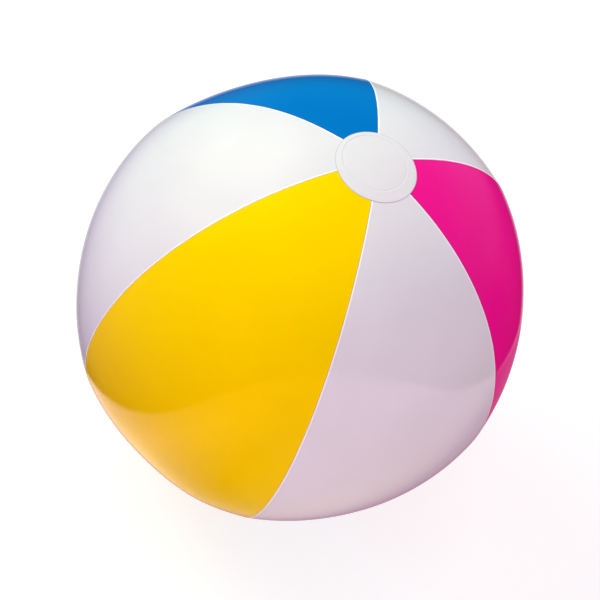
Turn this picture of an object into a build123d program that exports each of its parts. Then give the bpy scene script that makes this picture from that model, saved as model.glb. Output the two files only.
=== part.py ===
from build123d import *
import os
from math import radians, sin, sqrt, tan

# Inflatable beach ball, blown up. Six film panels (gores) are welded edge to edge, a round
# disc is welded over the panel tips at each pole, and a stem valve sits in one white panel.
# Frame: origin at the ball's centre, +Z along the line through the two end discs, and +Y
# through the middle of the panel that holds the valve. Lengths are in millimetres.

# ball
mid_radius = 195.0  # centre to the middle of a panel, on the equator
pole_height = 202.0  # centre to the point that the panels' outer faces run up to
cross_radius = 218.0  # curvature of a panel across its width, flatter than the ball
film = 0.3  # thickness of the vinyl film
fin_width = 4.0  # weld fin along each long edge of a panel, turned into the ball
tip_radius = 27.0  # round opening that the six panel tips leave at each pole
panels = {
    "front_yellow_panel": -90,
    "right_white_panel": -30,
    "right_pink_panel": 30,
    "rear_white_panel": 90,
    "left_blue_panel": 150,
    "left_white_panel": 210,
}
valve_panel = "rear_white_panel"

# end discs
disc_radius = 34.0
lap_rise = 0.25  # the disc bridges the shallow creases between the panel tips
foot_radius = 18.0  # contact patch pressed flat by the ball's own weight

# valve, along +Y from the panel's outer face; depths are measured into the ball
pocket_radius = 9.5  # hole in the film, and the top of the pocket
flange_radius = 16.0
flange_depth = 1.6
stem_radius = 4.75
bore_radius = 2.8
lip_depth = 1.6  # the stem's mouth, pushed in
stem_length = 14.4
collar_radius = 5.3  # ring that the web is moulded to
collar_depth = 8.2
collar_height = 1.2
web_wall = 0.4
gap = 0.1  # room between pieces that only meet loosely

# stopper plug and its strap
hinge_offset = 6.8  # from the stem's axis to the strap's fold
knuckle_radius = 0.5
knuckle_play = 0.05
ear_tip = 7.4
ear_depth = 1.6
strap_width = 4.0
strap_wall = 0.4
cap_radius = 5.0
cap_wall = 1.1
spigot_length = 3.6
spigot_play = 0.06
spigot_tip_radius = 1.9
tab_reach = 7.6
tab_wall = 0.7
tab_width = 4.5

# check flap at the stem's inner end
flap_radius = 4.2
flap_wall = 0.5

# worked out from the sizes above
half_angle = 180 / len(panels)
meridian_x = (mid_radius**2 - pole_height**2) / (2 * mid_radius)
meridian_radius = mid_radius - meridian_x
half_span = 1.15 * mid_radius * tan(radians(half_angle))
reach = 1.2 * pole_height
stem_end = lip_depth + stem_length
valve_plane = Plane(origin=(0, mid_radius, 0), x_dir=(-1, 0, 0), z_dir=(0, 1, 0))


def panel_height(radius):
    """Height of a panel's outer face on its middle line, at this distance from the Z axis."""
    return sqrt(meridian_radius**2 - (radius - meridian_x) ** 2)


def barrel(inset):
    """Round solid whose side is one panel's outer face moved in by inset, panel towards +X."""
    side_x = mid_radius - cross_radius + sqrt((cross_radius - inset) ** 2 - half_span**2)
    low = (side_x, -half_span)
    high = (side_x, half_span)
    side = ThreePointArc(low, (mid_radius - inset, 0), high)
    back = Polyline(high, (meridian_x, half_span), (meridian_x, -half_span), low)
    axis = Axis((meridian_x, 0, 0), (0, 1, 0))
    turned = revolve(make_face(side + back), axis, 360)
    return turned.rotate(axis, 180)


def wedge(inset):
    """The sector between the two seam planes of a panel, each plane moved in by inset."""
    apex = inset / sin(radians(half_angle))
    corner = (reach - apex) * tan(radians(half_angle))
    outline = Polyline((apex, 0), (reach, -corner), (reach, corner), (apex, 0))
    return extrude(make_face(outline), reach, both=True)


def pole_core():
    """Round bar through both poles, as wide as the opening between the panel tips."""
    return Cylinder(tip_radius, 2 * reach)


def panel(has_valve):
    """One film panel with its weld fins, its middle line towards +X."""
    shell = barrel(0) & wedge(0)
    shell -= barrel(film) & wedge(film)
    shell -= barrel(film + fin_width)
    shell -= pole_core()
    if has_valve:
        shell -= Pos(mid_radius, 0, 0) * Rot(0, 90, 0) * Cylinder(pocket_radius, 4 * flange_depth)
    return shell


def end_disc(flattened):
    """Disc welded over the panel tips, at the top pole; the flattened one carries the foot."""
    tip_z = panel_height(tip_radius)
    rim_z = panel_height(disc_radius)
    rise = rim_z**2 - tip_z**2 + disc_radius**2 - tip_radius**2
    centre_z = rise / (2 * (rim_z - tip_z))
    inner_radius = sqrt(tip_radius**2 + (tip_z - centre_z) ** 2) + lap_rise
    outer_radius = inner_radius + film
    flat_z = centre_z + sqrt(outer_radius**2 - foot_radius**2)
    top_z = flat_z if flattened else reach
    centre = Pos(0, 0, centre_z)
    outer = centre * Sphere(outer_radius) & upright(disc_radius, centre_z, top_z)
    inner = centre * Sphere(inner_radius) & upright(tip_radius, 0, top_z - film)
    disc = outer - inner
    for azimuth in panels.values():
        disc -= Rot(0, 0, azimuth) * (barrel(0) & wedge(0)) - pole_core()
    return disc


def upright(radius, low, high):
    """Round bar along Z between two heights."""
    return Pos(0, 0, (low + high) / 2) * Cylinder(radius, high - low)


def ring(outer_radius, inner_radius, low, high):
    """Round tube along Z between two heights."""
    return upright(outer_radius, low, high) - upright(inner_radius, low - 1, high + 1)


def in_valve(shape):
    """Place a shape drawn with Z out of the ball and Y up on the valve's axis."""
    return valve_plane.location * shape


def valve_flange():
    """Soft ring welded to the inner face of the film round the pocket."""
    plain = in_valve(ring(flange_radius, pocket_radius, -flange_depth, 0))
    return plain & Rot(0, 0, 90) * barrel(film)


def valve_web():
    """Thin cone from the flange to the stem's collar, turned into the ball."""
    top = (pocket_radius - gap, -lip_depth)
    foot = (collar_radius + gap, -collar_depth)
    outline = Polyline(
        top,
        foot,
        (foot[0] + web_wall, foot[1]),
        (top[0] + web_wall, top[1]),
        top,
    )
    cone = revolve(Plane.XZ * make_face(outline), Axis.Z, 360)
    return in_valve(cone)


def valve_stem():
    """Mouthpiece tube with the web's collar and the ear that the plug's strap folds on."""
    tube = upright(stem_radius, -stem_end, -lip_depth)
    tube += upright(collar_radius, -collar_depth - collar_height, -collar_depth + gap)
    ear_low = -lip_depth - ear_depth
    ear_high = -lip_depth - gap
    ear = Pos(0, ear_tip / 2, (ear_low + ear_high) / 2)
    tube += ear * Box(strap_width, ear_tip, ear_high - ear_low)
    tube -= knuckle(knuckle_radius + knuckle_play, strap_width + 1)
    tube -= upright(bore_radius, -stem_end - 1, 0)
    return in_valve(tube)


def knuckle(radius, length):
    """Round bar along the fold of the plug's strap."""
    return Pos(0, hinge_offset, -lip_depth) * Rot(0, 90, 0) * Cylinder(radius, length)


def stopper_plug():
    """Cap with a tapered spigot that stops the mouthpiece, and a lift tab below it."""
    base_z = gap - lip_depth
    cap = upright(cap_radius, base_z, base_z + cap_wall)
    cap = fillet(cap.edges().group_by(Axis.Z)[-1], 0.4)
    mouth_radius = bore_radius - spigot_play
    spigot_z = base_z - spigot_length / 2
    spigot = Pos(0, 0, spigot_z) * Cone(spigot_tip_radius, mouth_radius, spigot_length)
    tab = Pos(0, -tab_reach / 2, base_z + tab_wall / 2) * Box(tab_width, tab_reach, tab_wall)
    tab = fillet(tab.edges().filter_by(Axis.Z).group_by(Axis.Y)[0], 1.5)
    return in_valve(cap + spigot + tab)


def plug_strap():
    """Strap moulded to the plug's rim, with the round fold it swings on."""
    base_z = gap - lip_depth
    band = Pos(0, hinge_offset / 2, base_z + strap_wall / 2)
    strap = band * Box(strap_width, hinge_offset, strap_wall)
    strap += knuckle(knuckle_radius, strap_width)
    strap -= upright(cap_radius, -reach, reach)
    return in_valve(strap)


def check_flap():
    """Leaf over the stem's inner end, which hangs from its top edge."""
    leaf = upright(flap_radius, -stem_end - gap - flap_wall, -stem_end - gap)
    return in_valve(leaf)


def build():
    """Every piece of the ball by name."""
    made = {}
    for name, azimuth in panels.items():
        made[name] = Rot(0, 0, azimuth) * panel(name == valve_panel)
    made["top_end_disc"] = end_disc(False)
    made["bottom_end_disc"] = Rot(180, 0, 0) * end_disc(True)
    made["valve_flange"] = valve_flange()
    made["valve_web"] = valve_web()
    made["valve_stem"] = valve_stem()
    made["check_flap"] = check_flap()
    made["stopper_plug"] = stopper_plug()
    made["plug_strap"] = plug_strap()
    return made


os.makedirs("parts", exist_ok=True)
for node, shape in build().items():
    export_step(shape, f"parts/{node}.step")
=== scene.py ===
from math import cos, pi, radians, sin, tan

import bmesh
import bpy
import numpy as np
from mathutils import Matrix, Vector


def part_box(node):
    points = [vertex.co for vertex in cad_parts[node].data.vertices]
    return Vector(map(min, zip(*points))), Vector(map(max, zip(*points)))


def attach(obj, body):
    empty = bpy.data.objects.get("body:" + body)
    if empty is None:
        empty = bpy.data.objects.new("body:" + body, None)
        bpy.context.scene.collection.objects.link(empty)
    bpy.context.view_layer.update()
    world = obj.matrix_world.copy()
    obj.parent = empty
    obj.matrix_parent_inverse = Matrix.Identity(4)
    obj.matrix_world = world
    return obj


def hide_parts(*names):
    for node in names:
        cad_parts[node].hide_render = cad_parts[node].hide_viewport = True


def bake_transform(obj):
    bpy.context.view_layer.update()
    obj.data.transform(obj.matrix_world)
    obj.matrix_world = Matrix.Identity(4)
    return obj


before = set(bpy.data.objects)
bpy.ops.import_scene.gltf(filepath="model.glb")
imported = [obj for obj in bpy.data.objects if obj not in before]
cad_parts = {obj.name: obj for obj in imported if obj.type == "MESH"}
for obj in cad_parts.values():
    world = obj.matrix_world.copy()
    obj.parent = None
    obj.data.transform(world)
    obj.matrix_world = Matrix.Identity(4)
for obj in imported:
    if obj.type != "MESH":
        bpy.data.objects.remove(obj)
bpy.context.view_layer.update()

# ---------------------------------------------------------------- sizes, in metres
PANELS = {  # azimuth of each panel's middle line, in degrees, and its material slot
    "front_yellow_panel": (-90, "yellow_vinyl"),
    "right_white_panel": (-30, "white_vinyl"),
    "right_pink_panel": (30, "pink_vinyl"),
    "rear_white_panel": (90, "white_vinyl"),
    "left_blue_panel": (150, "blue_vinyl"),
    "left_white_panel": (210, "white_vinyl"),
}
PANEL_STEP = 360 // len(PANELS)  # degrees from one panel's middle line to the next
HALF_ANGLE = pi / len(PANELS)
MID_RADIUS = -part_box("front_yellow_panel")[0].y
DISC_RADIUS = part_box("top_end_disc")[1].x
FOOT_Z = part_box("bottom_end_disc")[0].z
POLE_RATIO = 202 / 195  # height of the panels' meeting point over the middle radius
CROSS_RATIO = 218 / 195  # curvature of a panel across its width over the middle radius
MERIDIAN_X = MID_RADIUS * (1 - POLE_RATIO**2) / 2  # centre of a panel's curve, pole to pole
MERIDIAN_RADIUS = MID_RADIUS - MERIDIAN_X
CROSS_RADIUS = MID_RADIUS * CROSS_RATIO
TIP_RADIUS = 0.027  # round opening that the panel tips leave at a pole
FILM = 0.0003  # thickness
SEAM_ROUND = 0.0004  # how far the film's bend into the weld reaches from the seam
SEAM_GAP = 0.00002  # between a weld fin and the seam plane
FIN_STEPS = (0.004, 0.002, 0.0006)  # how far in from the seam each row of a weld fin lies
VALVE_Y = MID_RADIUS  # the panel's outer face at the valve
POCKET_RADIUS = 0.0095  # hole in the film, in which the valve's stem slides
FLANGE_RADIUS = 0.016
SHARP_ANGLE = radians(50)  # edges that turn by more than this are shaded as sharp


# ---------------------------------------------------------------- mesh helpers
def link(name, mesh):
    """A new object for a mesh, in the scene."""
    piece = bpy.data.objects.new(name, mesh)
    bpy.context.scene.collection.objects.link(piece)
    return piece


def mesh_piece(name, points, faces, smooth=True):
    """A piece from a point array and a face list."""
    mesh = bpy.data.meshes.new(name)
    mesh.from_pydata([tuple(p) for p in points], [], faces)
    mesh.validate()
    mesh.update()
    mesh.polygons.foreach_set("use_smooth", [smooth] * len(mesh.polygons))
    mesh.set_sharp_from_angle(angle=SHARP_ANGLE)
    return link(name, mesh)


def grid_normals(grid):
    """Unit normals of a (rows, columns, 3) grid, from its own differences."""
    along = np.gradient(grid, axis=0)
    across = np.gradient(grid, axis=1)
    normal = np.cross(across, along)
    return normal / np.linalg.norm(normal, axis=2, keepdims=True)


def film_shell(outer, normals, thickness):
    """Closed shell of film: the outer grid, the same grid moved in, and strips round the edge."""
    rows, columns = outer.shape[:2]
    inner = outer - normals * thickness
    points = np.concatenate([outer.reshape(-1, 3), inner.reshape(-1, 3)])
    count = rows * columns
    faces = []
    for i in range(rows - 1):
        for j in range(columns - 1):
            a = i * columns + j
            b = a + columns
            faces.append((a, a + 1, b + 1, b))
            faces.append((count + a, count + b, count + b + 1, count + a + 1))
    rim = [(0, j) for j in range(columns)] + [(i, columns - 1) for i in range(1, rows)]
    rim += [(rows - 1, j) for j in range(columns - 2, -1, -1)]
    rim += [(i, 0) for i in range(rows - 2, 0, -1)]
    ring = [i * columns + j for i, j in rim]
    for a, b in zip(ring, ring[1:] + ring[:1]):
        faces.append((b, a, count + a, count + b))
    return points, faces


# ---------------------------------------------------------------- the film's shape
WAVE_COUNT = 5  # sine waves in one ripple
WAVE_PEAK = 1.6  # usual peak of their sum, over the root of their count
SETTLING_ROUNDS = 12  # enough for a panel's cross curve to settle within a micrometre
PUCKER_DEPTH = 0.00011  # small waves beside the welds
PUCKER_LENGTHS = (0.009, 0.022)  # shortest and longest wave along a weld
PUCKER_START, PUCKER_REACH = 0.0012, 0.007  # from the seam, rising and dying away
PUCKER_SEED = 40
HOLLOW_DEPTH = 0.00022  # slow waves over a whole panel
HOLLOW_LENGTHS = (0.09, 0.2)  # shortest and longest wave along a panel
HOLLOW_WIDTHS = (0.1, 0.2)  # and across it
HOLLOW_SEED = 9
HOLLOW_START = 0.02  # from the seam
FLANGE_RISE = 0.0004  # how far the film stands out over the valve's flange
FLANGE_EDGE = 0.0003  # softness of the rise's edge
WELD_RING_GAP, WELD_RING_DEPTH = 0.0015, 0.00007  # rings pressed in by the flange's weld
WELD_RING_EDGE = 0.0002
WELD_RING_INNER = POCKET_RADIUS + 0.0016
WELD_RING_OUTER = FLANGE_RADIUS - 0.0012
BULGES = [  # azimuth and elevation in degrees, how far out, and reach in degrees
    (58, 37, 0.00205, 28),
    (95, 45, 0.00205, 28),
    (160, 32, -0.00385, 22),
    (-118, -21, 0.0011, 22),
    (-75, -29, 0.0022, 12),
    (-34, -20, -0.0008, 14),
]
SEAM_SHIFT = {  # how far each weld lies aside, towards larger azimuths, by its azimuth
    -120: 0.0003,
    -60: 0.0011,
    0: -0.0008,
    60: -0.002,
    180: 0.0008,
}
SEAM_SHIFT_REACH = 0.03  # how far from the weld the shift dies away
SEAM_SHIFT_START, SEAM_SHIFT_SOFT = 0.03, 0.003  # from the Z axis, under the end disc
VALVE_QUIET = 0.05  # the bulges fade out nearer than this to the valve
COLUMNS, ROWS = 37, 181  # lines of points across and along a panel
TIP_FRACTIONS = np.array([0.992, 0.984, 0.972, 0.96])  # more rows near the tips
VALVE_LINES = 77  # more columns and rows round the valve
VALVE_COLUMNS, VALVE_ROWS = 0.19, 0.062  # and how far they reach, as fractions
SEAM_STEPS = [pi / 2, pi / 3, pi / 6, 0]  # turn of the film's bend into the weld
EDGE_STEPS = [0.0012, 0.002, 0.0032, 0.005]  # columns beside a weld, from the seam


def panel_skin(phi, beta):
    """Points and normals of a panel's outer face, middle line towards +X, by the azimuth phi
    from the middle line and the angle beta along the meridian."""
    x = np.full(np.broadcast(phi, beta).shape, MID_RADIUS) * np.cos(beta)
    for _ in range(SETTLING_ROUNDS):
        y = x * np.tan(phi)
        sag = CROSS_RADIUS - np.sqrt(CROSS_RADIUS**2 - y**2)
        x = MERIDIAN_X + (MERIDIAN_RADIUS - sag) * np.cos(beta)
    y = x * np.tan(phi)
    cross = np.sqrt(CROSS_RADIUS**2 - y**2)
    z = (MERIDIAN_RADIUS - CROSS_RADIUS + cross) * np.sin(beta)
    normal = np.stack([np.cos(beta) + 0 * y, y / cross, np.sin(beta) + 0 * y], -1)
    normal /= np.linalg.norm(normal, axis=-1, keepdims=True)
    return np.stack([x, y, z], -1), normal


def tip_beta(phi):
    """Meridian angle at which a column of the panel reaches the round opening at the tip."""
    y = TIP_RADIUS * np.sin(phi)
    radius = MERIDIAN_RADIUS - CROSS_RADIUS + np.sqrt(CROSS_RADIUS**2 - y**2)
    return np.arccos((TIP_RADIUS * np.cos(phi) - MERIDIAN_X) / radius)


def waves(position, seed, shortest, longest):
    """Smooth uneven ripple of about -1 to 1 along a length, with wavelengths in the range."""
    random = np.random.default_rng(seed)
    numbers = random.uniform(2 * pi / longest, 2 * pi / shortest, WAVE_COUNT)
    phases = random.uniform(0, 2 * pi, WAVE_COUNT)
    total = sum(np.sin(position * n + p) for n, p in zip(numbers, phases))
    return total / WAVE_COUNT**0.5 / WAVE_PEAK


def film_relief(points, edge, beta, azimuth, seed):
    """How far the film stands out from its ideal shape: puckers at welds and slow hollows."""
    length = beta * MERIDIAN_RADIUS
    side = np.where(points[..., 1] > 0, 1, 0)
    seam = ((azimuth + 90) // PANEL_STEP + side) % len(PANELS)
    pucker = np.zeros(edge.shape)
    for number in range(len(PANELS)):
        here = waves(length, PUCKER_SEED + number, *PUCKER_LENGTHS)
        pucker += np.where(seam == number, here, 0)
    fade = np.exp(-edge / PUCKER_REACH) * (1 - np.exp(-edge / PUCKER_START))
    slow = waves(points[..., 2], seed, *HOLLOW_LENGTHS)
    slow = slow * waves(points[..., 1], seed + HOLLOW_SEED, *HOLLOW_WIDTHS)
    away = 1 - np.exp(-edge / HOLLOW_START)
    return PUCKER_DEPTH * (pucker - 1) * fade + HOLLOW_DEPTH * slow * away


def soft_step(value, place, width):
    """0 to 1 as a value passes a place, over a few times this width."""
    return 0.5 + 0.5 * np.tanh((value - place) / (2 * width))


def valve_relief(away):
    """How far the film stands out over the valve's flange, with the rings its weld presses in."""
    rise = FLANGE_RISE * soft_step(-away, -FLANGE_RADIUS, FLANGE_EDGE)
    inside = soft_step(away, WELD_RING_INNER, WELD_RING_EDGE)
    inside = inside * soft_step(-away, -WELD_RING_OUTER, WELD_RING_EDGE)
    ridges = np.cos((away - WELD_RING_INNER) * 2 * pi / WELD_RING_GAP)
    return rise + WELD_RING_DEPTH * (ridges - 1) * inside


def column_angles(middle, radius):
    """Azimuth of each column at this distance from the Z axis, from one seam to the other."""
    edge = [SEAM_GAP + SEAM_ROUND * (1 - sin(turn)) for turn in SEAM_STEPS] + EDGE_STEPS
    edge = np.array(edge)[:, None, None]
    outer = HALF_ANGLE - np.arcsin(edge / radius)
    inner = outer[-1:] * middle[:, None, None]
    return np.concatenate([-outer, inner, outer[::-1]])[..., 0].T


def middle_columns(has_valve):
    """Columns between the two seams, as fractions of the half width, closer round the valve."""
    plain = np.linspace(-1, 1, COLUMNS)[1:-1]
    if not has_valve:
        return plain
    near = np.linspace(-VALVE_COLUMNS, VALVE_COLUMNS, VALVE_LINES)
    return np.unique(np.concatenate([plain, near]).round(5))


def row_fractions(has_valve):
    """Rows from the bottom tip to the top tip, as fractions of the end angle."""
    rows = [np.linspace(-1, 1, ROWS), TIP_FRACTIONS, -TIP_FRACTIONS]
    if has_valve:
        rows.append(np.linspace(-VALVE_ROWS, VALVE_ROWS, VALVE_LINES))
    return np.unique(np.concatenate(rows).round(5))


def seam_distance(points):
    """Distance of a panel's points from the nearer seam plane, middle line towards +X."""
    return (tan(HALF_ANGLE) * points[..., 0] - np.abs(points[..., 1])) * cos(HALF_ANGLE)


def panel_grid(azimuth, has_valve, seed):
    """Outer face of a panel with its bends and weld fins, middle line towards +X."""
    rows = row_fractions(has_valve)
    seam_angle = np.full(len(rows), HALF_ANGLE)
    seam_points, _ = panel_skin(seam_angle, rows * tip_beta(HALF_ANGLE))
    radius = np.maximum(np.hypot(seam_points[:, 0], seam_points[:, 1]), TIP_RADIUS)
    phi = column_angles(middle_columns(has_valve), radius[:, None])
    beta = rows[:, None] * tip_beta(phi[-1])[None, :]
    points, normals = panel_skin(phi, beta)
    edge = seam_distance(points)
    bend = np.zeros(phi.shape[1])
    drops = [SEAM_ROUND * (1 - cos(turn)) for turn in SEAM_STEPS]
    bend[: len(drops)] = drops
    bend[-len(drops):] = drops[::-1]
    relief = film_relief(points, edge, beta, azimuth, seed)
    if has_valve:
        relief += valve_relief(np.hypot(points[..., 1], points[..., 2]))
    return add_fins(points + normals * (relief - bend)[..., None])


def add_fins(points):
    """Carry a panel's two long edges straight in along the seam planes, as weld fins."""
    edges = points[:, [0, -1]]
    inward = -edges / np.linalg.norm(edges, axis=2, keepdims=True)
    fins = [edges + inward * step for step in FIN_STEPS]
    left = np.stack([f[:, 0] for f in fins], 1)
    right = np.stack([f[:, 1] for f in fins[::-1]], 1)
    return np.concatenate([left, points, right], 1)


def turned(points, azimuth):
    """Points turned about the Z axis by an azimuth in degrees."""
    a = radians(azimuth)
    turn = np.array([[cos(a), sin(a), 0], [-sin(a), cos(a), 0], [0, 0, 1]])
    return points @ turn


def bulged(points):
    """Points moved out or in where the blown-up ball isn't even, but not round the valve."""
    outward = points / np.linalg.norm(points, axis=1, keepdims=True)
    rise = np.zeros(len(points))
    for azimuth, elevation, out, reach in BULGES:
        a, e = radians(azimuth), radians(elevation)
        toward = np.array([cos(a) * cos(e), sin(a) * cos(e), sin(e)])
        away = np.arccos(np.clip(outward @ toward, -1, 1))
        rise += out * np.exp(-((away / radians(reach)) ** 2))
    from_valve = np.hypot(points[:, 0], points[:, 2])
    round_valve = np.exp(-((from_valve / VALVE_QUIET) ** 4)) * (points[:, 1] > 0)
    return points + outward * (rise * (1 - round_valve))[:, None]


def shifted_seams(points):
    """Points moved sideways with the welds that lie a little off their even places."""
    moved = points.copy()
    for azimuth, shift in SEAM_SHIFT.items():
        out = np.array([cos(radians(azimuth)), sin(radians(azimuth))])
        side = np.array([-out[1], out[0]])
        away = points[:, :2] @ side
        near = np.exp(-((away / SEAM_SHIFT_REACH) ** 2))
        near *= soft_step(points[:, :2] @ out, SEAM_SHIFT_START, SEAM_SHIFT_SOFT)
        moved[:, :2] += shift * near[:, None] * side
    return moved


def panel_height(x, y):
    """Height of the panels' outer faces above the equator at points near a pole."""
    azimuth = np.degrees(np.arctan2(y, x))
    middle = np.radians(np.round((azimuth + 90) / PANEL_STEP) * PANEL_STEP - 90)
    out = x * np.cos(middle) + y * np.sin(middle)
    side = y * np.cos(middle) - x * np.sin(middle)
    radius = MERIDIAN_RADIUS - CROSS_RADIUS + np.sqrt(CROSS_RADIUS**2 - side**2)
    return np.sqrt(radius**2 - (out - MERIDIAN_X) ** 2)


# ---------------------------------------------------------------- pieces
FIRST_SEED = 3  # random seed of the first panel's hollows; the others count on from it
POCKET_CUT_DEPTH = 0.01  # reach of the cutter each way from the film
ROUND_SEGMENTS = 96  # points round the pocket and the web
TOP_DISC_SHIFT = (0.0027, -0.0014)  # how far each end disc was welded off centre
BOTTOM_DISC_SHIFT = (-0.0008, 0.0012)
DISC_SEGMENTS = 180  # points round an end disc
DOME_RADIUS = 0.164  # curvature of an end disc over the opening between the tips
DISC_LIFT = 0.4 * FILM  # over the tips' own height
LAP_START, LAP_SOFT = TIP_RADIUS + 0.0003, 0.00022  # where the disc climbs onto the tips
LAP_PUCKER_DEPTH, LAP_PUCKER_SEED = 0.00005, 71  # small waves where it climbs
LAP_PUCKER_LENGTHS = (0.006, 0.016)
LAP_PUCKER_RADIUS, LAP_PUCKER_REACH = TIP_RADIUS + 0.001, 0.0016
BAND_DEPTH, BAND_WIDTH = 0.00008, 0.0012  # the pressed weld band, halfway across the lap
GROOVE_DEPTH, GROOVE_WIDTH = 0.0002, 0.0003  # the crisp ring inside it
GROOVE_RADIUS = TIP_RADIUS - 0.0002
DOME_START, DOME_END = 0.0006, TIP_RADIUS - 0.0012  # first and last ring of points inside it
DOME_RINGS, LAP_RINGS = 16, 12  # rings of points over the opening and over the tips
GROOVE_STEPS = (-0.0008, -0.00045, -0.0002, 0, 0.0002, 0.0004, 0.0008)  # from TIP_RADIUS
RIM_DROP, RIM_SIDE, RIM_OUT = 0.00006, 0.00008, 0.00005  # the disc's rounded rim
DISC_THINNER = 0.00003  # how much thinner than the panels' film the disc is
WEB_WALL = 0.0004
WEB_TOP = (POCKET_RADIUS, 0.0016)  # radius and depth below the panel's outer face
WEB_FOOT = (0.0053, 0.0082)
WEB_RINGS = 17
WEB_BOW = 0.0003  # how far the web's wall bows out


def lathe_faces(rings, segments, closed):
    """Quads between one ring of points and the next, and fans over open ends."""
    faces = []
    pairs = [(i, i + 1) for i in range(rings - 1)]
    if closed:
        pairs.append((rings - 1, 0))
    for a, b in pairs:
        for j in range(segments):
            k = (j + 1) % segments
            faces.append((a * segments + j, b * segments + j, b * segments + k, a * segments + k))
    if not closed:
        faces.append(tuple(range(segments)))
        faces.append(tuple((rings - 1) * segments + j for j in reversed(range(segments))))
    return faces


def store_edge(piece, distance):
    """Keep each point's distance from the nearest weld, for the material."""
    attribute = piece.data.attributes.new("edge", "FLOAT", "POINT")
    attribute.data.foreach_set("value", np.asarray(distance, np.float32).ravel())


def film_panel(name, azimuth, seed):
    """One welded panel of film, as a closed shell with its weld fins."""
    has_valve = name == "rear_white_panel"
    grid = panel_grid(azimuth, has_valve, seed)
    points, faces = film_shell(grid, grid_normals(grid), FILM)
    edge = seam_distance(points)
    points = bulged(shifted_seams(turned(points, azimuth)))
    piece = mesh_piece(name + "_film", points, faces)
    store_edge(piece, edge)
    if has_valve:
        cut_pocket(piece)
    return piece


def face_outward(mesh):
    """Turn every face of a closed mesh outward."""
    edit = bmesh.new()
    edit.from_mesh(mesh)
    bmesh.ops.recalc_face_normals(edit, faces=edit.faces)
    edit.to_mesh(mesh)
    edit.free()


def cut_pocket(piece):
    """Cut the valve's round hole through the film."""
    turn = Matrix.Translation((0, VALVE_Y, 0)) @ Matrix.Rotation(pi / 2, 4, "X")
    angles = [2 * pi * i / ROUND_SEGMENTS for i in range(ROUND_SEGMENTS)]
    ring = [(POCKET_RADIUS * cos(a), POCKET_RADIUS * sin(a)) for a in angles]
    ends = (-POCKET_CUT_DEPTH, POCKET_CUT_DEPTH)
    points = [turn @ Vector((x, y, z)) for z in ends for x, y in ring]
    faces = lathe_faces(2, ROUND_SEGMENTS, closed=False)
    cutter = mesh_piece("pocket_cutter", points, faces, smooth=False)
    face_outward(cutter.data)
    cut = piece.modifiers.new("pocket", "BOOLEAN")
    cut.object = cutter
    cut.operation = "DIFFERENCE"
    cut.solver = "EXACT"
    bpy.context.view_layer.update()
    graph = bpy.context.evaluated_depsgraph_get()
    mesh = bpy.data.meshes.new_from_object(piece.evaluated_get(graph))
    piece.modifiers.clear()
    mesh.set_sharp_from_angle(angle=SHARP_ANGLE)
    piece.data = mesh
    bpy.data.objects.remove(cutter)


def disc_surface(radius, angle):
    """Outer face of an end disc over the tips of the panels, at polar places round the pole."""
    x, y = radius * np.cos(angle), radius * np.sin(angle)
    lap = panel_height(x, y) + FILM
    tip = panel_height(TIP_RADIUS * np.cos(angle), TIP_RADIUS * np.sin(angle))
    mean = tip.mean()
    blend = np.minimum(radius / TIP_RADIUS, 1) ** 2
    dome = np.sqrt(DOME_RADIUS**2 - radius**2) - (DOME_RADIUS**2 - TIP_RADIUS**2) ** 0.5
    inside = mean + (tip - mean) * blend + dome + DISC_LIFT
    step = soft_step(radius, LAP_START, LAP_SOFT)
    pucker = waves(angle * TIP_RADIUS, LAP_PUCKER_SEED, *LAP_PUCKER_LENGTHS)
    near = np.exp(-np.abs(radius - LAP_PUCKER_RADIUS) / LAP_PUCKER_REACH)
    band = np.exp(-(((radius - 0.5 * (TIP_RADIUS + DISC_RADIUS)) / BAND_WIDTH) ** 4))
    groove = np.exp(-(((radius - GROOVE_RADIUS) / GROOVE_WIDTH) ** 2))
    height = inside + (lap - inside) * step + LAP_PUCKER_DEPTH * pucker * near
    height -= BAND_DEPTH * band + GROOVE_DEPTH * groove
    return np.stack([x, y, height], -1)


def end_disc(name, shift, flattened):
    """A round disc of film over the panel tips, welded off centre by a shift."""
    angle = np.linspace(0, 2 * pi, DISC_SEGMENTS, endpoint=False)
    along_shift = shift[0] * np.cos(angle) + shift[1] * np.sin(angle)
    off = shift[0] ** 2 + shift[1] ** 2
    rim = along_shift + np.sqrt(along_shift**2 - off + DISC_RADIUS**2)
    inner = list(np.linspace(DOME_START, DOME_END, DOME_RINGS))
    inner += [TIP_RADIUS + step for step in GROOVE_STEPS]
    start = inner[-1]
    rings = [np.full(DISC_SEGMENTS, r) for r in inner]
    rings += [start + (rim - start) * f for f in np.linspace(0, 1, LAP_RINGS)[1:]]
    radius = np.array(rings)
    top = disc_surface(radius, angle[None, :] + 0 * radius)
    low = top - np.array([0, 0, FILM - DISC_THINNER])
    top[-1, :, 2] -= RIM_DROP
    side = top[-1:].copy()
    side[0, :, 2] -= RIM_SIDE
    side[0, :, :2] *= (rim + RIM_OUT)[:, None] / rim[:, None]
    if flattened:
        top[..., 2] = np.minimum(top[..., 2], -FOOT_Z)
        low[..., 2] = np.minimum(low[..., 2], -FOOT_Z - FILM)
    points = np.concatenate([top, side, low[::-1]])
    edge = np.concatenate([rim - radius, 0 * rim[None], (rim - radius)[::-1]])
    if flattened:
        points = points * np.array([1, -1, -1])
    faces = [f[::-1] for f in lathe_faces(len(points), DISC_SEGMENTS, closed=False)]
    piece = mesh_piece(name + "_film", bulged(points.reshape(-1, 3)), faces)
    store_edge(piece, edge)
    return piece


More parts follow.
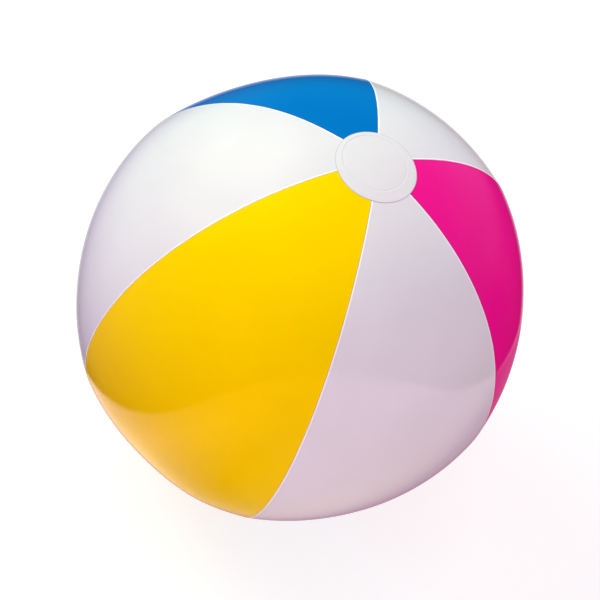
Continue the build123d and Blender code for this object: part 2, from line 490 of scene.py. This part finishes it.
def valve_web():
    """Soft cone between the valve's flange and its stem, pushed in, as a closed ring."""
    angle = np.linspace(0, 2 * pi, ROUND_SEGMENTS, endpoint=False)
    steps = np.linspace(0, 1, WEB_RINGS)
    depth = WEB_TOP[1] + (WEB_FOOT[1] - WEB_TOP[1]) * steps
    bow = WEB_BOW * np.sin(steps * pi)
    radius = WEB_TOP[0] + (WEB_FOOT[0] - WEB_TOP[0]) * steps + bow
    profile = list(zip(radius, depth)) + list(zip((radius + WEB_WALL)[::-1], depth[::-1]))
    rings = [[(r * cos(a), VALVE_Y - d, r * sin(a)) for a in angle] for r, d in profile]
    points = np.array(rings).reshape(-1, 3)
    faces = lathe_faces(len(profile), ROUND_SEGMENTS, closed=True)
    return mesh_piece("rolling_web", points, faces)


# ---------------------------------------------------------------- materials
COLOURS = {
    "yellow_vinyl": (0.95, 0.64, 0.0),
    "pink_vinyl": (0.85, 0.005, 0.255),
    "blue_vinyl": (0.0, 0.152, 0.485),
    "white_vinyl": (0.72, 0.70, 0.72),
}
TINT_AND_PAINTED_WELD_LINE = {  # tint of the film's mirror image; colour and width of a line of painted light along the welds: painted shade in the crease on the coloured films, a painted highlight on the white film
    "yellow_vinyl": ((1.0, 0.6, 0.0), (0.5, 0.3, 0.05), 0.0006),
    "pink_vinyl": ((1.0, 0.0, 0.4), (0.4, 0.01, 0.15), 0.0006),
    "blue_vinyl": ((0.0, 0.4, 1.0), (0.0, 0.09, 0.3), 0.0006),
    "white_vinyl": ((1.0, 1.0, 1.0), (0.97, 0.95, 0.97), 0.0016),
}
# the end discs' mirror tint, and a grey line of painted shade round their rim
DISC_TINT_AND_PAINTED_RIM_SHADE = ((1.0, 1.0, 1.0), (0.5, 0.48, 0.5), 0.0005)
PAINTED_WELD_LINE_CORE = 0.4  # share of the painted weld line's width that has its full colour
WELD_DULLNESS = 0.16  # roughness added on a weld, fading out between the next two distances
WELD_DULL_START, WELD_DULL_END = 0.0008, 0.0022
PVC_INDEX = 1.53  # index of refraction
FILM_CLOUD, FILM_CLOUDING = (14, 3), (0.97, 1.02)  # noise scale and detail; dark and light
FILM_SPECK, FILM_SPECKING = (700, 2), 0.95
SPECK_START, SPECK_END = 0.66, 0.74  # noise values between which a speck shows
FILM_SHINE, FILM_ROUGHNESS = (30, 4), (0.055, 0.1)
FILM_SKIN, SKIN_HEIGHT, SKIN_STRENGTH = (60, 2), 0.0002, 0.06
FILM_GRAIN, GRAIN_HEIGHT, GRAIN_STRENGTH = (1400, 2), 0.00002, 0.15
MOULDED_PVC = (0.74, 0.79, 0.82), 0.2  # colour and clearness
WEB_PVC = (0.78, 0.83, 0.86), 0.3
PVC_CLOUD, PVC_CLOUDING = (260, 3), 0.9
PVC_SHINE, PVC_ROUGHNESS = (420, 3), (0.12, 0.26)
PVC_GRAIN, PVC_GRAIN_HEIGHT, PVC_GRAIN_STRENGTH = (1800, 2), 0.00003, 0.2
NOISE_LOW, NOISE_HIGH = 0.3, 0.7  # where most noise values lie


def new_material(name):
    """An empty node material with its Principled shader."""
    material = bpy.data.materials.new(name)
    material.use_nodes = True
    tree = material.node_tree
    return material, tree, tree.nodes["Principled BSDF"]


def noise(tree, kind, where):
    """Noise over a piece's own space, in metres, from its scale and detail."""
    scale, detail = kind
    texture = tree.nodes.new("ShaderNodeTexNoise")
    texture.inputs["Scale"].default_value = scale
    texture.inputs["Detail"].default_value = detail
    tree.links.new(where, texture.inputs["Vector"])
    return texture.outputs["Fac"]


def spread(tree, value, low, high, start=NOISE_LOW, end=NOISE_HIGH):
    """A value that goes from low to high as another goes from start to end."""
    ramp = tree.nodes.new("ShaderNodeMapRange")
    ramp.inputs["From Min"].default_value = start
    ramp.inputs["From Max"].default_value = end
    ramp.inputs["To Min"].default_value = low
    ramp.inputs["To Max"].default_value = high
    tree.links.new(value, ramp.inputs["Value"])
    return ramp.outputs["Result"]


def mixed(tree, factor, first, second):
    """A colour between two, by a factor socket."""
    mix = tree.nodes.new("ShaderNodeMix")
    mix.data_type = "RGBA"
    tree.links.new(factor, mix.inputs["Factor"])
    for socket, colour in ((mix.inputs["A"], first), (mix.inputs["B"], second)):
        if isinstance(colour, tuple):
            socket.default_value = (*colour, 1)
        else:
            tree.links.new(colour, socket)
    return mix.outputs["Result"]


def worked(tree, operation, first, second):
    """A sum, product or difference of two values."""
    step = tree.nodes.new("ShaderNodeMath")
    step.operation = operation
    for socket, value in zip(step.inputs, (first, second)):
        if isinstance(value, float):
            socket.default_value = value
        else:
            tree.links.new(value, socket)
    return step.outputs["Value"]


def bumped(tree, height, distance, strength, under=None):
    """A bump normal from a height socket, over another one."""
    bump = tree.nodes.new("ShaderNodeBump")
    bump.inputs["Distance"].default_value = distance
    bump.inputs["Strength"].default_value = strength
    tree.links.new(height, bump.inputs["Height"])
    if under is not None:
        tree.links.new(under, bump.inputs["Normal"])
    return bump.outputs["Normal"]


def scaled(colour, factor):
    """A colour made lighter or darker."""
    return tuple(min(1.0, c * factor) for c in colour)


def vinyl_film(name, colour, tint, weld_painted_light, painted_line_width):
    """Glossy printed PVC film, a little cloudy, with a thin duller line along its welds, which is
    also painted darker as shade in the crease on coloured film and lighter as a highlight on
    white film.
    """
    material, tree, shader = new_material(name)
    where = tree.nodes.new("ShaderNodeTexCoord").outputs["Object"]
    cloud = spread(tree, noise(tree, FILM_CLOUD, where), 0, 1)
    dark, light = FILM_CLOUDING
    body = mixed(tree, cloud, scaled(colour, dark), scaled(colour, light))
    speck = spread(tree, noise(tree, FILM_SPECK, where), 0, 1, SPECK_START, SPECK_END)
    body = mixed(tree, speck, body, scaled(colour, FILM_SPECKING))
    edge = tree.nodes.new("ShaderNodeAttribute")
    edge.attribute_name = "edge"
    away = edge.outputs["Fac"]
    # painted light along the welds: a darker colour stands in for shade in the crease, a lighter
    # one for a highlight
    weld = spread(tree, away, 1, 0, PAINTED_WELD_LINE_CORE * painted_line_width, painted_line_width)
    tree.links.new(mixed(tree, weld, body, weld_painted_light), shader.inputs["Base Color"])
    shine = spread(tree, noise(tree, FILM_SHINE, where), *FILM_ROUGHNESS)
    dull = spread(tree, away, WELD_DULLNESS, 0, WELD_DULL_START, WELD_DULL_END)
    tree.links.new(worked(tree, "ADD", shine, dull), shader.inputs["Roughness"])
    skin = bumped(tree, noise(tree, FILM_SKIN, where), SKIN_HEIGHT, SKIN_STRENGTH)
    grain = noise(tree, FILM_GRAIN, where)
    grain = bumped(tree, grain, GRAIN_HEIGHT, GRAIN_STRENGTH, skin)
    tree.links.new(grain, shader.inputs["Normal"])
    shader.inputs["IOR"].default_value = PVC_INDEX
    shader.inputs["Specular Tint"].default_value = (*tint, 1)
    return material


def clear_vinyl(name, colour, clearness):
    """Soft see-through moulded PVC of the valve."""
    material, tree, shader = new_material(name)
    where = tree.nodes.new("ShaderNodeTexCoord").outputs["Object"]
    cloud = spread(tree, noise(tree, PVC_CLOUD, where), 0, 1)
    body = mixed(tree, cloud, scaled(colour, PVC_CLOUDING), colour)
    tree.links.new(body, shader.inputs["Base Color"])
    shine = spread(tree, noise(tree, PVC_SHINE, where), *PVC_ROUGHNESS)
    tree.links.new(shine, shader.inputs["Roughness"])
    grain = noise(tree, PVC_GRAIN, where)
    grain = bumped(tree, grain, PVC_GRAIN_HEIGHT, PVC_GRAIN_STRENGTH)
    tree.links.new(grain, shader.inputs["Normal"])
    shader.inputs["IOR"].default_value = PVC_INDEX
    shader.inputs["Transmission Weight"].default_value = clearness
    return material


def coat(piece, material):
    """Give a piece one material."""
    piece.data.materials.clear()
    piece.data.materials.append(material)


def finish_piece(piece, node, material, body):
    """Material, frame node, slot and body of a new piece."""
    coat(piece, material)
    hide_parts(node)
    if body:
        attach(piece, body)


def make_ball():
    """The six film panels and the two end discs."""
    films = {}
    for slot, colour in COLOURS.items():
        films[slot] = vinyl_film(slot + "_film", colour, *TINT_AND_PAINTED_WELD_LINE[slot])
    for seed, (name, (azimuth, slot)) in enumerate(PANELS.items(), FIRST_SEED):
        piece = film_panel(name, azimuth, seed)
        finish_piece(piece, name, films[slot], "ball")
    disc_film = vinyl_film("end_disc_film", COLOURS["white_vinyl"], *DISC_TINT_AND_PAINTED_RIM_SHADE)
    top = end_disc("top_end_disc", TOP_DISC_SHIFT, flattened=False)
    finish_piece(top, "top_end_disc", disc_film, "ball")
    bottom = end_disc("bottom_end_disc", BOTTOM_DISC_SHIFT, flattened=True)
    finish_piece(bottom, "bottom_end_disc", disc_film, "ball")


def make_valve():
    """Materials of the valve's moulded pieces, and its soft rolling web."""
    moulded = clear_vinyl("valve_pvc", *MOULDED_PVC)
    thin = clear_vinyl("valve_web_pvc", *WEB_PVC)
    for node in ("valve_stem", "stopper_plug", "plug_strap", "check_flap", "valve_flange"):
        coat(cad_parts[node], moulded)
    web = valve_web()
    finish_piece(web, "valve_web", thin, None)
    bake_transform(web)


# ---------------------------------------------------------------- studio
CAMERA_AZIMUTH = radians(12.3)  # from the front, towards the right
CAMERA_ELEVATION = radians(52.7)
CAMERA_ROLL = radians(29.4)  # anticlockwise, seen from behind the camera
CAMERA_DISTANCE = 1.405
LENS_MM, SENSOR_MM = 95.2, 36
AIM_RIGHT, AIM_UP = 0.0004, -0.0023  # aim beside the ball's centre, in the camera's plane
LIGHT_WIDTH = 1.0
LIGHT_DISTANCE = 1.6
FLOOR_SIZE = 12.0  # half the floor's side
FLOOR_GAP = 0.0001  # under the ball's foot
FLOOR_PAINT, FLOOR_ROUGHNESS = (0.35, 0.35, 0.35), 0.9
FLOOR_GLOW = 0.91
FLOOR_PAINTED_SHADOW_GLOW = 0.82 * FLOOR_GLOW  # the floor's glow in the painted shadow close under the ball
FLOOR_PAINTED_SHADOW_REACH = 0.14  # how near the ball has to be for the painted shadow to darken the floor
TABLE_UP = (-0.608, 0.312, 0.73)  # the studio table under the ball, as the film mirrors it
TABLE_LONG = (0.309, -0.754, 0.58)
TABLE_SHORT = (0.731, 0.578, 0.362)
TABLE_EDGE = -0.497  # height at which the mirrored table ends
TABLE_STRETCH = 0.191  # how much further off its short ends are than its long sides
SOFTBOX_TOWARD = (-0.5, 0.78, 0.4)  # in the camera's axes
GLOW_CORE, GLOW_EDGE = 0.97, 0.78  # cosines between which the softbox's mirror image fades
GLOW = (0.95, 1.15, 0.8)
SHADOW_TOWARD = (0.154, 0.743, -0.669)  # the ball's own shadow on the table, as mirrored
SHADOW_CORE, SHADOW_EDGE = 0.95, 0.72
SHADOW = (0.36, 0.14, 0.24)
FAR_WALL_CORE, FAR_WALL_EDGE = 0.985, 0.9  # the pale wall behind the ball, as mirrored
FAR_WALL = (0.62, 0.6, 0.66)
AMBIENT = (0.13, 0.04, 0.1)  # soft light from all round
BACKDROP = (0.93, 0.93, 0.93)  # what the camera sees behind the ball
EDGE_BLUR = 0.012  # half the height over which the table's edge fades
MIRRORED = [  # height over the table's edge, and what the film mirrors there, left and right
    (-0.6, (0.1, 0.05, 0.0), (0.9, 0.7, 0.45)),
    (-0.36, (0.25, 0.2, 0.05), (0.9, 0.7, 0.5)),
    (-0.14, (1.6, 1.25, 0.8), (0.95, 0.75, 0.8)),
    (-EDGE_BLUR, (1.15, 0.92, 0.88), (0.95, 0.73, 0.8)),
    (EDGE_BLUR, (0.02, 0.01, 0.02), (0.1, 0.01, 0.02)),
    (0.4, (0.08, 0.02, 0.28), (0.02, 0.01, 0.05)),
    (0.9, (0.12, 0.36, 0.38), (0.02, 0.33, 0.46)),
    (1.5, (0.08, 0.15, 0.15), (0.04, 0.25, 0.15)),
]
LEFT_END, RIGHT_END = -0.4, 0.0  # where the two sides meet, along the table's short way
LIGHTS = {  # direction in the camera's axes, power and colour
    "key_softbox": (SOFTBOX_TOWARD, 24.4, (0.81, 0.99, 0.8)),
    "front_fill": ((0.0, 0.1, 1.0), 9.5, (1, 0.89, 0.99)),
    "left_fill": ((-1.0, 0.0, 0.3), 2.4, (0.8, 0.1, 1)),
    "right_fill": ((1.0, 0.0, 0.3), 1.2, (1, 0.3, 0.5)),
    "low_fill": ((0.0, -1.0, 0.4), 13.9, (1, 0.92, 0.98)),
    "upper_right_fill": ((0.7, 0.6, 0.4), 10.5, (0.9, 1, 0.97)),
    "low_left_fill": ((-0.7, -0.7, 0.2), 1.4, (1, 0.7, 0.9)),
    "left_rim": ((-0.8, 0.3, -0.6), 9.5, (1, 0.82, 1)),
    "right_rim": ((0.8, 0.3, -0.6), 20.5, (1, 0.96, 0.96)),
}


def camera_axes():
    """The camera's right, up and back directions."""
    a, e, roll = CAMERA_AZIMUTH, CAMERA_ELEVATION, CAMERA_ROLL
    back = Vector((sin(a) * cos(e), -cos(a) * cos(e), sin(e)))
    level = Vector((cos(a), sin(a), 0))
    rise = back.cross(level)
    right = cos(roll) * level + sin(roll) * rise
    return right, back.cross(right), back


def make_camera():
    """Camera at the photograph's angle, with the ball's axis leaning as it does there."""
    right, up, back = camera_axes()
    data = bpy.data.cameras.new("camera")
    data.lens = LENS_MM
    data.sensor_width = SENSOR_MM
    camera = bpy.data.objects.new("camera", data)
    bpy.context.scene.collection.objects.link(camera)
    place = back * CAMERA_DISTANCE + right * AIM_RIGHT + up * AIM_UP
    turn = Matrix((right, up, back)).transposed().to_4x4()
    camera.matrix_world = Matrix.Translation(place) @ turn
    bpy.context.scene.camera = camera


def camera_direction(toward):
    """A unit direction in the frame, from one in the camera's right, up and back axes."""
    right, up, back = camera_axes()
    return (right * toward[0] + up * toward[1] + back * toward[2]).normalized()


def softbox(name, toward, power, colour):
    """A square studio light facing the ball from a direction given in the camera's axes."""
    direction = camera_direction(toward)
    data = bpy.data.lights.new(name, "AREA")
    data.size = LIGHT_WIDTH
    data.energy = power
    data.color = colour
    light = bpy.data.objects.new(name, data)
    bpy.context.scene.collection.objects.link(light)
    turn = direction.to_track_quat("Z", "Y").to_matrix().to_4x4()
    light.matrix_world = Matrix.Translation(direction * LIGHT_DISTANCE) @ turn
    light.visible_glossy = False
    return light


def light_only(light, pieces):
    """Let a light fall on these pieces alone."""
    group = bpy.data.collections.new(light.name + "_falls_on")
    for piece in pieces:
        group.objects.link(piece)
    light.light_linking.receiver_collection = group


def make_floor():
    """A plain pale floor under the ball, glowing bright enough to read as a white studio floor,
    with a painted shadow that dims its glow where the ball stands close over it. It can't be seen
    from below."""
    corners = [(-1, -1), (1, -1), (1, 1), (-1, 1)]
    points = [(x * FLOOR_SIZE, y * FLOOR_SIZE, FOOT_Z - FLOOR_GAP) for x, y in corners]
    floor = mesh_piece("floor", points, [(0, 1, 2, 3)], smooth=False)
    material, tree, shader = new_material("floor_paint")
    shader.inputs["Base Color"].default_value = (*FLOOR_PAINT, 1)
    shader.inputs["Roughness"].default_value = FLOOR_ROUGHNESS
    shader.inputs["Specular IOR Level"].default_value = 0
    shader.inputs["Emission Color"].default_value = (1, 1, 1, 1)
    # painted shadow: ambient occlusion dims the floor's glow close under the ball
    painted_shadow = tree.nodes.new("ShaderNodeAmbientOcclusion")
    painted_shadow.inputs["Distance"].default_value = FLOOR_PAINTED_SHADOW_REACH
    glow = spread(tree, painted_shadow.outputs["AO"], FLOOR_PAINTED_SHADOW_GLOW, FLOOR_GLOW, 0, 1)
    tree.links.new(glow, shader.inputs["Emission Strength"])
    open_side = tree.nodes.new("ShaderNodeBsdfTransparent")
    pick = tree.nodes.new("ShaderNodeMixShader")
    side = tree.nodes.new("ShaderNodeNewGeometry").outputs["Backfacing"]
    tree.links.new(side, pick.inputs["Fac"])
    tree.links.new(shader.outputs["BSDF"], pick.inputs[1])
    tree.links.new(open_side.outputs["BSDF"], pick.inputs[2])
    tree.links.new(pick.outputs["Shader"], tree.nodes["Material Output"].inputs["Surface"])
    coat(floor, material)
    floor.visible_glossy = False
    floor.visible_diffuse = False
    floor.visible_shadow = False


def along(tree, where, direction):
    """How far a direction points along another."""
    side = tree.nodes.new("ShaderNodeVectorMath")
    side.operation = "DOT_PRODUCT"
    side.inputs[1].default_value = direction
    tree.links.new(where, side.inputs[0])
    return side.outputs["Value"]


def aligned(tree, where, direction, start, end):
    """0 to 1 as a direction comes round to the one given, between two cosines."""
    ramp = tree.nodes.new("ShaderNodeMapRange")
    ramp.interpolation_type = "SMOOTHSTEP"
    ramp.inputs["From Min"].default_value = start
    ramp.inputs["From Max"].default_value = end
    tree.links.new(along(tree, where, direction), ramp.inputs["Value"])
    return ramp.outputs["Result"]


def table_height(tree, where):
    """Height of a direction over the mirrored table's edge, which is nearer on its long sides."""
    length = along(tree, where, TABLE_LONG)
    width = along(tree, where, TABLE_SHORT)
    length = worked(tree, "MULTIPLY", length, length)
    width = worked(tree, "MULTIPLY", width, width)
    bend = worked(tree, "MULTIPLY", worked(tree, "SUBTRACT", length, width), TABLE_STRETCH)
    height = worked(tree, "SUBTRACT", along(tree, where, TABLE_UP), bend)
    return worked(tree, "SUBTRACT", height, TABLE_EDGE)


def mirrored_side(tree, height, colours):
    """What the film mirrors on one side of the room, by height over the table's edge."""
    low, high = colours[0][0], colours[-1][0]
    room = tree.nodes.new("ShaderNodeValToRGB")
    stops = room.color_ramp.elements
    while len(stops) < len(colours):
        stops.new(0.5)
    for stop, (place, colour) in zip(stops, colours):
        stop.position = (place - low) / (high - low)
    for stop, (place, colour) in zip(stops, colours):
        stop.color = (*colour, 1)
    tree.links.new(spread(tree, height, 0, 1, low, high), room.inputs["Fac"])
    return room.outputs["Color"]


def make_world():
    """Soft even studio light, and what the film mirrors: a white table under a dim room, and
    the glow of the large softbox."""
    world = bpy.data.worlds.new("studio")
    bpy.context.scene.world = world
    world.use_nodes = True
    tree = world.node_tree
    tree.nodes.clear()
    out = tree.nodes.new("ShaderNodeOutputWorld")
    path = tree.nodes.new("ShaderNodeLightPath")
    where = tree.nodes.new("ShaderNodeTexCoord").outputs["Generated"]
    height = table_height(tree, where)
    left = mirrored_side(tree, height, [(place, colour) for place, colour, _ in MIRRORED])
    right = mirrored_side(tree, height, [(place, colour) for place, _, colour in MIRRORED])
    side = spread(tree, along(tree, where, TABLE_SHORT), 0, 1, LEFT_END, RIGHT_END)
    room = mixed(tree, side, left, right)
    shade = aligned(tree, where, SHADOW_TOWARD, SHADOW_EDGE, SHADOW_CORE)
    below = spread(tree, height, 1, 0, -EDGE_BLUR, EDGE_BLUR)
    mirror = mixed(tree, worked(tree, "MULTIPLY", shade, below), room, SHADOW)
    behind = aligned(tree, where, camera_direction((0, 0, -1)), FAR_WALL_EDGE, FAR_WALL_CORE)
    above = worked(tree, "SUBTRACT", 1.0, below)
    mirror = mixed(tree, worked(tree, "MULTIPLY", behind, above), mirror, FAR_WALL)
    glow = aligned(tree, where, camera_direction(SOFTBOX_TOWARD), GLOW_EDGE, GLOW_CORE)
    mirror = mixed(tree, glow, mirror, GLOW)
    shown = mixed(tree, path.outputs["Is Diffuse Ray"], BACKDROP, AMBIENT)
    shown = mixed(tree, path.outputs["Is Glossy Ray"], shown, mirror)
    sky = tree.nodes.new("ShaderNodeBackground")
    tree.links.new(shown, sky.inputs["Color"])
    tree.links.new(sky.outputs["Background"], out.inputs["Surface"])


def make_studio():
    """Camera, lights, floor and world; the fills fall on the ball alone, the key on all."""
    make_camera()
    pieces = [piece for piece in bpy.context.scene.objects if piece.type == "MESH"]
    for name, (toward, power, colour) in LIGHTS.items():
        light = softbox(name, toward, power, colour)
        if name != "key_softbox":
            light_only(light, pieces)
    make_floor()
    make_world()
    scene = bpy.context.scene
    scene.view_settings.view_transform = "Standard"
    scene.cycles.use_denoising = True


make_ball()
make_valve()
make_studio()
